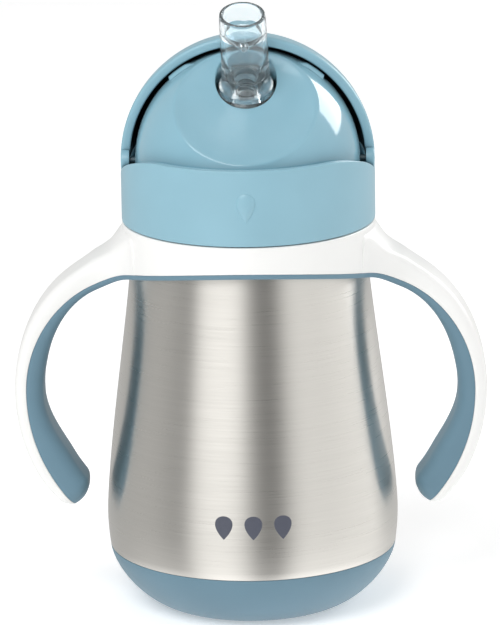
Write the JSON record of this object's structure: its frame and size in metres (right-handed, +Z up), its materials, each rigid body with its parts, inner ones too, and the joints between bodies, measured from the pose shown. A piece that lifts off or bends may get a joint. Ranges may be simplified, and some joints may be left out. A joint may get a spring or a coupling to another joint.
{
  "type": "sippy cup",
  "caption": "Toddler's double-wall steel cup with two soft-grip handles, a screw lid, a folding silicone mouthpiece on a weighted straw, and a domed cover that turns over it.",
  "frame": {"origin": "centre of the flat foot, where the cup stands", "axes": "+Z up along the cup's axis, -Y the front to which the mouthpiece leans, +X towards the handle on the right of someone who faces the front"},
  "size_m": [0.1306, 0.0808, 0.1714],
  "materials": {
    "blue_grip": "soft matte",
    "steel": "brushed round the axis",
    "white_plastic": "satin",
    "blue_lid": "satin",
    "blue_dome": "gloss",
    "milky_silicone": "translucent satin",
    "clear_silicone": "clear",
    "natural_plastic": "translucent satin",
    "polished_steel": "polished"
  },
  "bodies": {
    "vessel": {"base_boot": "blue_grip", "outer_shell": "steel", "shell_bottom": "steel", "vacuum_plug": "steel", "inner_vessel": "steel", "handle_frame": "white_plastic", "handle_grip": "blue_grip"},
    "gasket": {"lid_seal": "milky_silicone"},
    "lid": {"lid_collar": "blue_lid", "lid_dome": "blue_dome", "vent_valve": "milky_silicone", "mouthpiece_base": "clear_silicone", "straw_adaptor": "natural_plastic"},
    "cover": {"rotating_cover": "blue_lid"},
    "mouthpiece": {"mouthpiece_tube": "clear_silicone"},
    "straw": {"straw_tube": "clear_silicone", "straw_weight": "polished_steel", "straw_inlet": "natural_plastic"}
  },
  "joints": [
    {"name": "lid_lift", "type": "slide", "parent": "vessel", "child": "gasket", "axis": [0, 0, 1], "range_m": [0, 0.00601]},
    {"name": "lid_turn", "type": "hinge", "parent": "gasket", "child": "lid", "pos_m": [0, 0, 0.118], "axis": [0, 0, 1], "range_deg": [0, 540]},
    {"name": "cover_turn", "type": "hinge", "parent": "lid", "child": "cover", "pos_m": [0, 0, 0.1254], "axis": [1, 0, 0], "range_deg": [0, 75]},
    {"name": "mouthpiece_fold", "type": "hinge", "parent": "lid", "child": "mouthpiece", "pos_m": [0, -0.00958, 0.14808], "axis": [1, 0, 0], "range_deg": [0, 111.1], "deforming": ["mouthpiece_tube"]},
    {"name": "straw_swing", "type": "hinge", "parent": "lid", "child": "straw", "pos_m": [0, 0, 0.119], "axis": [1, 0, 0], "range_deg": [-12, 12], "deforming": ["straw_tube"]}
  ],
  "couplings": [
    {"joint": "lid_lift", "follows": "lid_turn", "m_per_rad": 0.00063662},
    {"joint": "mouthpiece_fold", "follows": "cover_turn", "ratio": 1.48}
  ]
}
